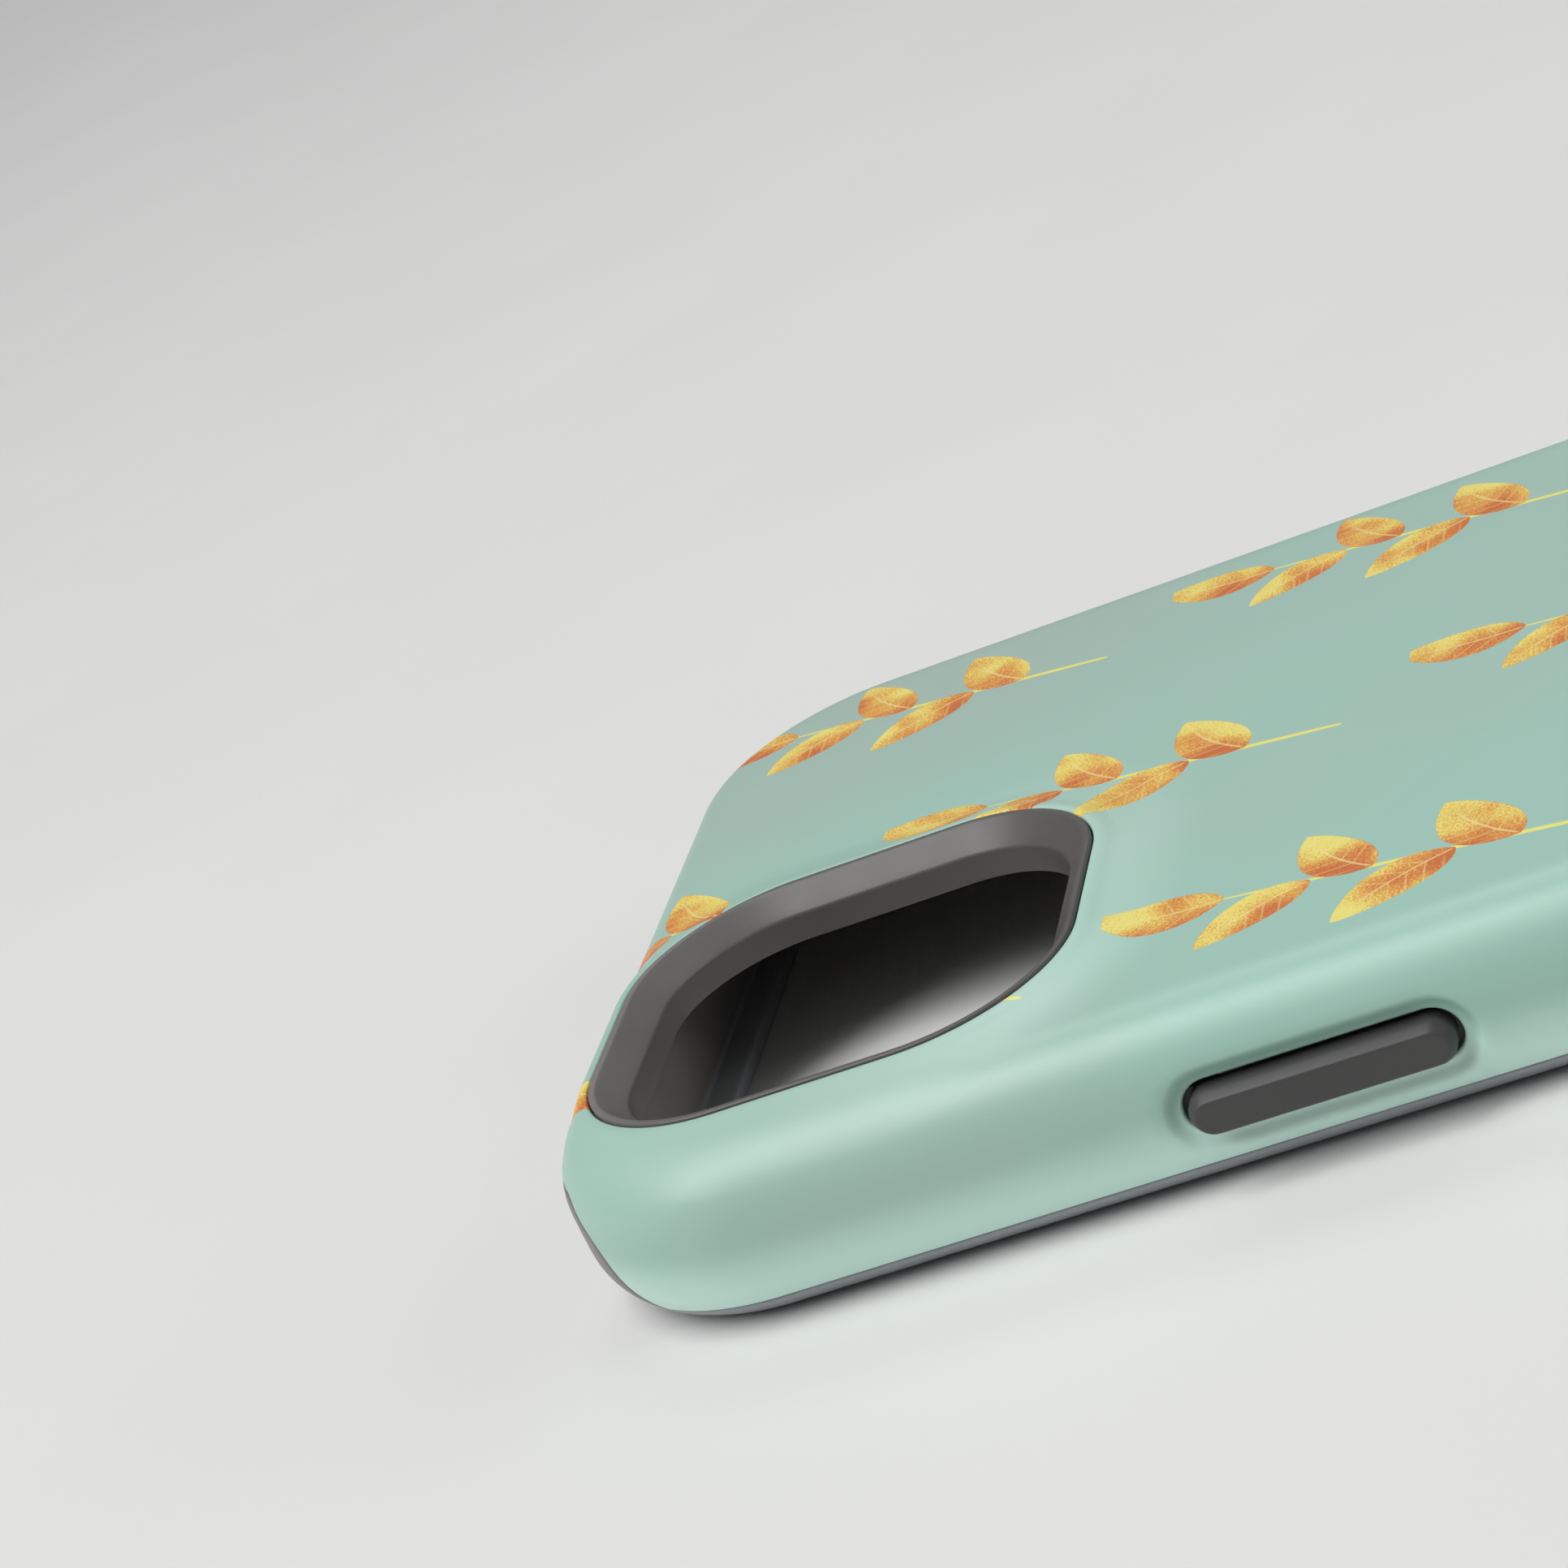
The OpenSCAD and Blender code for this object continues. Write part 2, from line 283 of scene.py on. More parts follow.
def outline(line_step, end_step, arc_step):
    """Corner points and outward directions once round the case, counter-clockwise."""
    quarter = np.arange(arc_step, math.pi / 2 - 1e-6, arc_step)
    long_count = int(round(2 * CORNER[1] / line_step))
    end_count = int(round(2 * CORNER[0] / end_step))
    runs = []
    corners = [(1, 1), (-1, 1), (-1, -1), (1, -1)]
    counts = [long_count, end_count, long_count, end_count]
    for i, (sx, sy) in enumerate(corners):
        before = np.array(corners[i - 1]) * CORNER
        here = np.array([sx, sy]) * CORNER
        t = np.linspace(0, 1, counts[i] + 1)[:, None]
        facing = i * math.pi / 2
        line = before + (here - before) * t
        runs.append((line, np.full(len(line), facing)))
        runs.append((np.repeat(here[None], len(quarter), axis=0), facing + quarter))
    angle = np.concatenate([a for _, a in runs])
    return np.concatenate([p for p, _ in runs]), np.column_stack([np.cos(angle), np.sin(angle)])


def seam_height(corner, n):
    """Height of the seam: the rim height on the sides, the bumper's height over the ends."""
    angle = np.arcsin(np.clip(np.abs(n[:, 0]), 0, 1))
    fall = ease((angle - FALL_FROM) / (FALL_TO - FALL_FROM))
    hump = HUMP_RISE * (1 - ease((np.abs(corner[:, 0]) - HUMP_FLAT) / HUMP_RAMP))
    return BUMPER_Z - (BUMPER_Z - RIM_Z) * fall + np.where(n[:, 1] < -1 + 1e-9, hump, 0)


def seam_loop():
    """The seam on the flat map, counter-clockwise."""
    corner, n = outline(1.2, 0.3, math.radians(1.5))
    return corner + n * (FLAT_R + u_at_z(seam_height(corner, n)))[:, None]


def beside(loop, distance):
    """A loop beside another one on the surface: towards the back if distance is positive."""
    place = Place(loop)
    points = place.points()
    along = np.roll(points, -1, axis=0) - np.roll(points, 1, axis=0)
    side = np.cross(place.normals(), along)
    side /= np.linalg.norm(side, axis=1)[:, None]
    return loop + place.step(side * distance)


# ---------------------------------------------------------------------------------------------
# Meshes made from the flat map: a triangulation with rings of points round every opening and edge.

def inside(points, loop):
    """True for points inside a closed loop."""
    found = np.zeros(len(points), bool)
    lo, hi = loop.min(axis=0), loop.max(axis=0)
    near = np.nonzero(((points >= lo) & (points <= hi)).all(axis=1))[0]
    px, py = points[near, 0], points[near, 1]
    hit = np.zeros(len(near), bool)
    for a, b in zip(loop, np.roll(loop, -1, axis=0)):
        crosses = (a[1] > py) != (b[1] > py)
        if a[1] != b[1]:
            hit ^= crosses & (px < (b[0] - a[0]) * (py - a[1]) / (b[1] - a[1]) + a[0])
    found[near] = hit
    return found


def side_rows(u_values, step):
    """Loose points in rows round the case, one row for each u."""
    rows = []
    for u in u_values:
        corner, n = outline(step, step, math.radians(2))
        rows.append(corner + n * (FLAT_R + u))
    return np.concatenate(rows)


def back_grid(step):
    """Loose points on the flat back, in staggered rows."""
    x = np.arange(-HALF_W + FLAT_INSET, HALF_W - FLAT_INSET + 0.01, step)
    y = np.arange(-HALF_L + FLAT_INSET, HALF_L - FLAT_INSET + 0.01, step * 0.87)
    gx, gy = np.meshgrid(x, y)
    gx[1::2] += step / 2
    points = np.column_stack([gx.ravel(), gy.ravel()])
    return points[Place(points).u < -0.35]


class Sheet:
    """Points and rings for one triangulated sheet. Each point has a depth below the outer surface,
    or a level, which is a height that replaces the surface's own."""

    def __init__(self):
        self.rings = []
        self.loose = []

    def ring(self, loop, depth=0.0, level=np.nan):
        self.rings.append((loop, depth, level))

    def scatter(self, points, depth=0.0):
        self.loose.append((points, depth))

    def build(self, edge, holes):
        flat, depth, level, edges = [], [], [], []
        count = 0
        for loop, d, z in self.rings:
            size = len(loop)
            ids = count + np.arange(size)
            edges += [(int(a), int(b)) for a, b in zip(ids, np.roll(ids, -1))]
            flat.append(loop)
            depth.append(np.full(size, d))
            level.append(np.full(size, z))
            count += size
        for points, d in self.loose:
            flat.append(points)
            depth.append(np.broadcast_to(d, len(points)))
            level.append(np.full(len(points), np.nan))
        flat = np.concatenate(flat)
        depth = np.concatenate(depth)
        level = np.concatenate(level)
        made = geometry.delaunay_2d_cdt([Vector(p) for p in flat.tolist()], edges, [], 0, 1e-5, True)
        origin = np.array([ids[0] if ids else -1 for ids in made[3]])
        tris = np.array([f for f in made[2] if len(f) == 3])
        if (origin < 0).any():
            print("note:", int((origin < 0).sum()), "points were added where rings cross")
        verts = np.array([tuple(v) for v in made[0]])
        centre = verts[tris].mean(axis=1)
        keep = inside(centre, edge)
        for hole in holes:
            keep &= ~inside(centre, hole)
        tris = tris[keep]
        used, packed = np.unique(tris, return_inverse=True)
        origin = origin[used]
        return verts[used], packed.reshape(-1, 3), depth[origin], level[origin]


def clear_of(points, loops, room):
    """The points that are further than room from every loop's points."""
    keep = np.ones(len(points), bool)
    for loop in loops:
        lo, hi = loop.min(axis=0) - room, loop.max(axis=0) + room
        near = np.nonzero(keep & ((points >= lo) & (points <= hi)).all(axis=1))[0]
        for start in range(0, len(near), 4000):
            part = near[start:start + 4000]
            gap = points[part][:, None, :] - loop[None, :, :]
            keep[part[(gap ** 2).sum(axis=2).min(axis=1) < room * room]] = False
    return points[keep]


def boundary_edges(tris):
    """Directed edges that belong to one triangle only."""
    edges = np.concatenate([tris[:, [0, 1]], tris[:, [1, 2]], tris[:, [2, 0]]])
    key = np.sort(edges, axis=1)
    _, first, count = np.unique(key, axis=0, return_index=True, return_counts=True)
    return edges[first[count == 1]]


def mesh_object(name, verts, faces, sharp=38):
    """A smooth-shaded object from points in millimetres."""
    mesh = bpy.data.meshes.new(name)
    mesh.from_pydata((np.asarray(verts) * MM).tolist(), [], faces)
    mesh.update()
    mesh.polygons.foreach_set("use_smooth", np.ones(len(mesh.polygons), bool))
    mesh.set_sharp_from_angle(angle=math.radians(sharp))
    obj = bpy.data.objects.new(name, mesh)
    bpy.context.scene.collection.objects.link(obj)
    return obj


def solid_from_sheets(name, outer, inner, tris, flat):
    """Closed solid between an outer and an inner sheet that share their triangles."""
    size = len(outer)
    edges = boundary_edges(tris)
    walls = np.column_stack([edges[:, 1], edges[:, 0], edges[:, 0] + size, edges[:, 1] + size])
    faces = tris.tolist() + (tris[:, ::-1] + size).tolist() + walls.tolist()
    obj = mesh_object(name, np.concatenate([outer, inner]), faces)
    layer = obj.data.attributes.new("unrolled", "FLOAT_VECTOR", "POINT")
    spread = np.zeros((2 * size, 3))
    spread[:size, :2] = flat
    spread[size:, :2] = flat
    spread[size:, 2] = 1.0
    layer.data.foreach_set("vector", spread.ravel())
    return obj


def quarter_round(radius, steps=6):
    """Pairs of distance from an edge and depth below the surface, for a rounded edge."""
    angles = np.linspace(0, math.pi / 2, steps)
    return [(radius * (1 - math.cos(a)), radius * (1 - math.sin(a))) for a in angles]


# ---------------------------------------------------------------------------------------------
# Outer shell

def lip_lift(place):
    """Height that the raised lip adds: a narrow crest and a broad skirt round the opening."""
    distance = camera_distance(place.plan)
    crest = 1 - ease((distance - 0.3) / 1.4)
    skirt = 1 - ease((distance - 0.1) / 4.4)
    level = (CREST * crest + SKIRT * skirt) * LIP_RISE * np.cos(place.turn)
    return level + crest * (BACK_Z - place.z)


def dish_share(place):
    """Depth share of the soft hollow round each button opening."""
    share = np.zeros(len(place.u))
    for _, side, along, length in BUTTONS:
        near = place.on_side & (place.n[:, 0] * side > 0.999)
        around = np.column_stack([place.plan[:, 1] - along, place.z - BUTTON_Z])
        half_h = CAP_H / 2 + CAP_GAP
        gap = loop_distance(around, length / 2 + CAP_GAP, half_h, half_h)
        below = ease((place.z - RIM_Z - 0.2) / 0.7)
        share = np.where(near, np.maximum(share, (1 - ease((gap - 0.25) / 1.0)) * below), share)
    return share


def build_shell():
    """The printed shell with its openings and the raised lip, as one closed solid."""
    seam = seam_loop()
    edge = beside(seam, SEAM)
    sheet = Sheet()
    for distance, depth in quarter_round(0.22) + [(0.34, 0)]:
        sheet.ring(beside(seam, SEAM + distance) if distance else edge, depth)
    camera = camera_loop(0)
    for distance, depth in quarter_round(0.22) + [(d, 0) for d in LIP_RINGS]:
        sheet.ring(camera_loop(distance), depth)
    pills = []
    for _, side, along, length in BUTTONS:
        size = (length + 2 * CAP_GAP, CAP_H + 2 * CAP_GAP)
        pills.append(side_pill(side, along, *size))
        for distance, depth in quarter_round(0.2) + [(d, 0) for d in (0.4, 0.6, 0.8, 1.0, 1.2)]:
            sheet.ring(side_pill(side, along, *size, grow=distance), depth)
    side, along, length, height = SWITCH
    size = (length + SWITCH_FLARE, height + SWITCH_FLARE)
    pills.append(side_pill(side, along, *size))
    for distance, depth in quarter_round(0.25):
        sheet.ring(side_pill(side, along, *size, grow=distance), depth)

    loose = np.concatenate([back_grid(1.3), side_rows(np.arange(0.0, U_END, 0.42), 0.8)])
    loose = loose[camera_distance(Place(loose).plan) > 5.0]
    loose = np.concatenate([loose] + [camera_loop(d, 0.6) for d in LIP_POINTS])
    loose = loose[inside(loose, beside(seam, SEAM + 0.6))]
    around = [side_pill(s, a, l + 2 * CAP_GAP, CAP_H + 2 * CAP_GAP, 1.0) for _, s, a, l in BUTTONS]
    around.append(side_pill(side, along, *size, grow=0.5))
    for loop in around:
        loose = loose[~inside(loose, loop)]
    sheet.scatter(clear_of(loose, around, 0.5))

    flat, tris, depth, _ = sheet.build(edge, [camera] + pills)
    place = Place(flat)
    points, normals = place.points(), place.normals()
    inner = points - normals * SHELL_WALL
    raised = points.copy()
    raised[:, 2] += lip_lift(place)
    tilt = camera_distance(place.plan) < 2.0
    depth_dir = np.where(tilt[:, None], np.array([0, 0, 1.0]), normals)
    outer = raised - depth_dir * depth[:, None] - normals * (0.6 * dish_share(place))[:, None]
    return solid_from_sheets("printed_shell", outer, inner, tris, flat)


# ---------------------------------------------------------------------------------------------
# Inner liner

def inner_face(place):
    """The liner's inside under a point of its outside: roof, cavity wall, front lip and mouth."""
    roof = 2.9                                  # the roof runs this far past the flat back
    thicker_ends = 0.4                          # end walls against side walls
    knots = [                                   # height outside, radius inside, height inside
        (None, FLAT_R, SEAT_Z), (None, FLAT_R + roof, SEAT_Z), (9.35, 12.0, SEAT_Z),
        (8.95, 12.05, 8.95), (2.2, 12.05, 2.2), (1.3, 12.05, LIP_Z), (1.0, 10.3, LIP_Z),
        (0.9, 10.12, 1.32), (0.8, 10.05, 1.15), (0.3, 10.05, 0.2), (0.0, 10.22, 0.0)]
    u = [0.0, float(np.interp(roof, PROFILE_REACH[:WIDEST], PROFILE_U[:WIDEST]))]
    u += [float(u_at_z(k[0])) for k in knots[2:]]
    radius = np.interp(place.u, u, [k[1] for k in knots])
    outer_r = np.interp(place.u, PROFILE_U, PROFILE_REACH) + FLAT_R
    radius = np.where(place.u < u[1], outer_r, radius)
    height = np.interp(place.u, u, [k[2] for k in knots])
    radius -= thicker_ends * ease(place.u / u[2]) * place.n[:, 1] ** 2
    plan = np.where(place.on_side[:, None], place.corner + place.n * radius[:, None], place.plan)
    return np.column_stack([plan, np.where(place.on_side, height, SEAT_Z)])


def build_liner():
    """The liner with bumpers, collar, openings and button pockets, as one closed solid."""
    seam = seam_loop()
    sheet = Sheet()
    for distance, depth in quarter_round(0.28):
        sheet.ring(beside(seam, -SEAM - distance) if distance else beside(seam, -SEAM), depth)
    sheet.ring(beside(seam, -SEAM + STEP_IN), HIDDEN_DEPTH)
    sheet.ring(beside(seam, 0.5), HIDDEN_DEPTH)

    corner, n = outline(1.2, 0.6, math.radians(2.5))
    edge = corner + n * (FLAT_R + U_END)
    sheet.ring(corner + n * (FLAT_R + u_at_z(1.3)))
    for u in np.linspace(u_at_z(1.0), U_END, 10):
        sheet.ring(corner + n * (FLAT_R + u))

    slope_start = COLLAR_GAP + COLLAR_TOP_W
    slope_end = slope_start + COLLAR_SLOPE
    bend = 0.12                                 # reach of the bends at both ends of the slope
    camera = camera_loop(-slope_end - bend)
    sheet.ring(camera_loop(0.4), HIDDEN_DEPTH)
    sheet.ring(camera_loop(-COLLAR_GAP + STEP_IN), level=BACK_Z - HIDDEN_DEPTH)
    for distance, depth in quarter_round(0.18):
        sheet.ring(camera_loop(-COLLAR_GAP - distance), level=COLLAR_Z - depth)
    for t in (-1.0, -0.5, 0.0, 0.5, 1.0):
        drop = bend * (t + 1) ** 2 / 4
        sheet.ring(camera_loop(-slope_start - bend * t), level=COLLAR_Z - drop)
    for t in (0.25, 0.5, 0.75):
        sheet.ring(camera_loop(-slope_start - COLLAR_SLOPE * t), level=COLLAR_Z - COLLAR_SLOPE * t)
    low = COLLAR_Z - COLLAR_SLOPE
    for t in (0.0, 0.25, 0.5, 0.75, 1.0):
        reach = bend * math.sin(math.pi / 2 * t)
        drop = reach + 0.15 * (1 - math.cos(math.pi / 2 * t))
        loop = camera if t == 1.0 else camera_loop(-slope_end - reach)
        sheet.ring(loop, level=low - drop)

    holes = [camera]
    for slot in END_SLOTS:
        holes.append(end_pill(slot))
        for distance, depth in quarter_round(0.4, 7) + [(0.55, 0), (0.75, 0)]:
            sheet.ring(end_pill(slot, distance), depth)
    for _, side, along, length in BUTTONS:
        holes.append(side_pill(side, along, length - 2.8, 2.4))
        sheet.ring(holes[-1], POCKET_DEPTH)
        sheet.ring(side_pill(side, along, length + POCKET_ROOM, POCKET_H), POCKET_DEPTH)
        sheet.ring(side_pill(side, along, length + POCKET_ROOM, POCKET_H, STEP_IN), HIDDEN_DEPTH)
    holes.append(side_pill(*SWITCH))
    for distance, depth in quarter_round(0.3):
        sheet.ring(side_pill(*SWITCH, grow=distance), HIDDEN_DEPTH + depth)

    bare = side_rows(np.arange(u_at_z(10.8), u_at_z(1.6), 0.4), 0.7)
    bare = bare[(np.abs(bare[:, 1]) > CORNER[1]) & ~inside(bare, beside(seam, -0.75))]
    slots = [end_pill(slot, 0.9) for slot in END_SLOTS]
    for loop in slots:
        bare = bare[~inside(bare, loop)]
    sheet.scatter(clear_of(bare, slots + [beside(seam, -0.3)], 0.35))
    under = np.concatenate([back_grid(2.4), side_rows(np.arange(0.0, U_END, 0.9), 2.0)])
    under = under[inside(under, beside(seam, 0.9))]
    under = under[camera_distance(Place(under).plan) > 0.9]
    pills = [side_pill(s, a, l + POCKET_ROOM, POCKET_H, 0.4) for _, s, a, l in BUTTONS]
    pills.append(side_pill(*SWITCH, grow=0.7))
    for loop in pills:
        under = under[~inside(under, loop)]
    sheet.scatter(under, HIDDEN_DEPTH)

    flat, tris, depth, level = sheet.build(edge, holes)
    place = Place(flat)
    outer = place.points() - place.normals() * depth[:, None]
    has_level = ~np.isnan(level)
    outer[has_level, 2] = level[has_level]
    outer[has_level, :2] = place.plan[has_level]
    return solid_from_sheets("soft_liner", outer, inner_face(place), tris, flat)


# ---------------------------------------------------------------------------------------------
# Buttons

def build_button(name, side, along, length):
    """Stem, flange and cap as one lofted solid; the cap has a chamfered edge and a flat face."""
    face_x = HALF_W + CAP_PROUD
    rings = [                                   # length, height, distance from the middle plane
        (length - STEM_SHORTER, STEM_H, HALF_W - STEM_DEPTH),
        (length - STEM_SHORTER, STEM_H, FLANGE_X - FLANGE_T),
        (length + FLANGE_LONGER, FLANGE_H, FLANGE_X - FLANGE_T),
        (length + FLANGE_LONGER, FLANGE_H, FLANGE_X),
        (length, CAP_H, FLANGE_X)]
    for distance, depth in CAP_CHAMFER:
        rings.append((length - 2 * distance, CAP_H - 2 * distance, face_x - depth))
    rings.append((length - CAP_FACE_INSET, CAP_H - CAP_FACE_INSET, face_x))
    loops = []
    for size_l, size_h, x in rings:
        r = size_h / 2
        half_turn = np.linspace(-math.pi / 2, math.pi / 2, 17)
        right = np.column_stack([size_l / 2 - r + r * np.cos(half_turn), r * np.sin(half_turn)])
        loop = np.concatenate([right, -right])
        place = np.full(len(loop), x * side)
        loops.append(np.column_stack([place, along + loop[:, 0], BUTTON_Z + loop[:, 1]]))
    count = len(loops[0])
    faces = []
    for row in range(len(loops) - 1):
        for i in range(count):
            j = (i + 1) % count
            quad = [row * count + i, row * count + j, (row + 1) * count + j, (row + 1) * count + i]
            faces.append(quad if side > 0 else quad[::-1])
    last = (len(loops) - 1) * count
    ends = [list(range(count))[::-1], [last + i for i in range(count)]]
    faces += ends if side > 0 else [end[::-1] for end in ends]
    return mesh_object(name, np.concatenate(loops), faces, 40)


# ---------------------------------------------------------------------------------------------
# Materials

def new_material(name):
    material = bpy.data.materials.new(name)
    material.use_nodes = True
    return material, material.node_tree, material.node_tree.nodes["Principled BSDF"]


def srgb(red, green, blue):
    """A colour as a shader takes it, from its usual 0 to 255 numbers."""
    parts = [c / 255 for c in (red, green, blue)]
    return tuple(c / 12.92 if c < 0.04045 else ((c + 0.055) / 1.055) ** 2.4 for c in parts) + (1.0,)


def feed(tree, slot, value):
    """Links a value to a socket, or sets the socket to a plain number or colour."""
    if isinstance(value, Value):
        value = value.socket
    if isinstance(value, bpy.types.NodeSocket):
        tree.links.new(value, slot)
    else:
        slot.default_value = value


class Value:
    """A number in a node tree. Arithmetic on it adds Math nodes."""

    def __init__(self, tree, socket):
        self.tree = tree
        self.socket = socket

    def math(self, operation, *others, limit=False):
        node = self.tree.nodes.new("ShaderNodeMath")
        node.operation = operation
        node.use_clamp = limit
        for slot, value in zip(node.inputs, (self, *others)):
            feed(self.tree, slot, value)
        return Value(self.tree, node.outputs[0])

    def __add__(self, other):
        return self.math("ADD", other)

    def __sub__(self, other):
        return self.math("SUBTRACT", other)

    def __rsub__(self, other):
        return self.math("MULTIPLY_ADD", -1.0, other)

    def __mul__(self, other):
        return self.math("MULTIPLY", other)

    def __truediv__(self, other):
        return self.math("DIVIDE", other)

    def __pow__(self, other):
        return self.math("POWER", other)

    def __abs__(self):
        return self.math("ABSOLUTE")

    def rise(self, start, end):
        """0 up to start and 1 from end on, with a smooth step between."""
        node = self.tree.nodes.new("ShaderNodeMapRange")
        node.interpolation_type = "SMOOTHSTEP"
        for index, value in enumerate((self, start, end)):
            feed(self.tree, node.inputs[index], value)
        return Value(self.tree, node.outputs[0])

    def limited(self):
        return self.math("ADD", 0.0, limit=True)

    def near(self, middle, reach):
        """1 where this is the middle value, falling to 0 at reach on both sides of it."""
        return abs(self - middle).rise(reach, 0.0)


def noise(tree, vector, scale, detail=2.0, roughness=0.5, stretch=None):
    """Noise from 0 to 1, scale times as fine as the vector's unit."""
    if stretch:
        node = tree.nodes.new("ShaderNodeMapping")
        node.inputs["Scale"].default_value = stretch
        tree.links.new(vector, node.inputs["Vector"])
        vector = node.outputs["Vector"]
    node = tree.nodes.new("ShaderNodeTexNoise")
    tree.links.new(vector, node.inputs["Vector"])
    node.inputs["Scale"].default_value = scale
    node.inputs["Detail"].default_value = detail
    node.inputs["Roughness"].default_value = roughness
    return Value(tree, node.outputs["Fac"])


def ramp(value, stops):
    """A colour that follows a value through (place, colour) stops."""
    node = value.tree.nodes.new("ShaderNodeValToRGB")
    value.tree.links.new(value.socket, node.inputs[0])
    band = node.color_ramp
    band.interpolation = "EASE"
    while len(band.elements) < len(stops):
        band.elements.new(1.0)
    for element, (place, colour) in zip(band.elements, stops):
        element.position = place
        element.color = colour
    return node.outputs["Color"]


class Paint:
    """Colour in layers, as a print is laid down."""

    def __init__(self, tree, colour):
        self.tree = tree
        self.colour = colour

    def lay(self, colour, share):
        node = self.tree.nodes.new("ShaderNodeMix")
        node.data_type = "RGBA"
        feed(self.tree, node.inputs["Factor"], share)
        feed(self.tree, node.inputs[6], self.colour)
        feed(self.tree, node.inputs[7], colour)
        self.colour = node.outputs[2]
        return self


def rough_and_bump(tree, shader, vector, roughness, grain, layers):
    """Links a roughness that varies by grain, and a bump of (noise scale, height in mm) layers."""
    spread = noise(tree, vector, 0.35, 4.0)
    fine = noise(tree, vector, 6.0, 2.0)
    varied = (spread - 0.5) * grain + (fine - 0.5) * (grain * 0.8) + roughness
    tree.links.new(varied.socket, shader.inputs["Roughness"])
    height = None
    for scale, tall in layers:
        layer = noise(tree, vector, scale, 2.0, 0.6) * (tall * MM)
        height = layer if height is None else height + layer
    bump = tree.nodes.new("ShaderNodeBump")
    bump.inputs["Distance"].default_value = 1.0
    tree.links.new(height.socket, bump.inputs["Height"])
    tree.links.new(bump.outputs["Normal"], shader.inputs["Normal"])


def object_mm(tree):
    """The object's own coordinates in millimetres."""
    place = tree.nodes.new("ShaderNodeTexCoord")
    scale = tree.nodes.new("ShaderNodeVectorMath")
    scale.operation = "SCALE"
    scale.inputs["Scale"].default_value = 1 / MM
    tree.links.new(place.outputs["Object"], scale.inputs[0])
    return scale.outputs[0]


# ---------------------------------------------------------------------------------------------
# The print: one sprig, repeated over the back. Places and sizes are millimetres; the sprig's are
# from the middle of its own repeat, on the flat map of the shell, with the camera end up.

LEAVES = [                     # base x, base y, direction in degrees, length, half width, bow
    (2.6, 11.0, 77.0, 9.0, 2.2, 0.5),
    (1.3, 5.4, 122.0, 8.5, 2.1, -0.6),
    (0.4, 1.4, 32.0, 8.5, 2.1, 0.6),
    (-0.8, -3.8, 122.0, 9.0, 2.3, -0.6),
    (-1.7, -7.8, 32.0, 9.0, 2.3, 0.6),
]
STEM = (-3.3, -14.6, 77.0, 27.0, 0.27, 0.0)
LEAF_POWER = 0.72              # how full a shape is towards its ends
STEM_POWER = 0.14
REPEAT = (27.0, 38.0)          # width and height; each column sits half a height lower


def blade_group():
    """Node group: a slim curved shape from a base point, as a leaf or a stem."""
    group = bpy.data.node_groups.new("blade", "ShaderNodeTree")
    names = ["x", "y", "base_x", "base_y", "cos", "sin", "length", "half_width", "bow", "power"]
    for name in names:
        group.interface.new_socket(name, in_out="INPUT", socket_type="NodeSocketFloat")
    for name in ("share", "along", "across"):
        group.interface.new_socket(name, in_out="OUTPUT", socket_type="NodeSocketFloat")
    entry = group.nodes.new("NodeGroupInput")
    x, y, base_x, base_y, c, s, length, half_width, bow, power = [
        Value(group, entry.outputs[name]) for name in names]
    dx, dy = x - base_x, y - base_y
    along = (dx * c + dy * s) / length
    belly = (along * (1.0 - along) * 4.0).math("MAXIMUM", 0.0)
    across = dy * c - dx * s - belly * bow
    width = belly ** power * (1.22 - along * 0.44) * half_width
    share = (width - abs(across)).rise(0.0, 0.14) * belly.math("GREATER_THAN", 0.0)
    leave = group.nodes.new("NodeGroupOutput")
    group.links.new(share.socket, leave.inputs["share"])
    group.links.new((along * share).socket, leave.inputs["along"])
    group.links.new((across / half_width * share).socket, leave.inputs["across"])
    return group


def blade(tree, group, x, y, shape, power):
    """One blade: its share of the colour, and places along and across it."""
    node = tree.nodes.new("ShaderNodeGroup")
    node.node_tree = group
    base_x, base_y, direction, length, half_width, bow = shape
    turn = math.radians(direction)
    values = (x, y, base_x, base_y, math.cos(turn), math.sin(turn), length, half_width, bow, power)
    for slot, value in zip(node.inputs, values):
        feed(tree, slot, value)
    return [Value(tree, socket) for socket in node.outputs]


def total(values):
    """The sum of several node values."""
    result = values[0]
    for value in values[1:]:
        result = result + value
    return result


def lay_leaves(paint, tree, vector, x, y):
    """A sprig of orange and gold leaves on a thin yellow stem."""
    group = blade_group()
    stem, _, _ = blade(tree, group, x, y, STEM, STEM_POWER)
    paint.lay(srgb(250, 240, 120), stem)
    parts = [blade(tree, group, x, y, leaf, LEAF_POWER) for leaf in LEAVES]
    share, along, across = [total(values) for values in zip(*parts)]
    patches = noise(tree, vector, 0.26, 1.0)
    glint = noise(tree, vector, 5.4, 1.0, 0.6)
    warm = (along * 0.6 - across * 0.3 + (patches - 0.5) * 1.9 + (glint - 0.5) * 1.5 + 0.26)
    colour = ramp(warm.limited(), [
        (0.0, srgb(212, 112, 54)), (0.3, srgb(228, 146, 70)), (0.55, srgb(236, 180, 84)),
        (0.76, srgb(242, 214, 104)), (1.0, srgb(248, 234, 128))])
    paint.lay(colour, share.math("MINIMUM", 1.0))
    veins = (along * 7.0 - abs(across) * 1.1).math("FRACT").near(0.5, 0.12)
    paint.lay(srgb(250, 218, 136), share * veins * along.rise(0.06, 0.2) * 0.5)
    midrib = abs(across).rise(0.06, 0.02) * along.rise(0.01, 0.05) * along.rise(0.9, 0.6)
    paint.lay(srgb(252, 232, 160), share * midrib * 0.65)


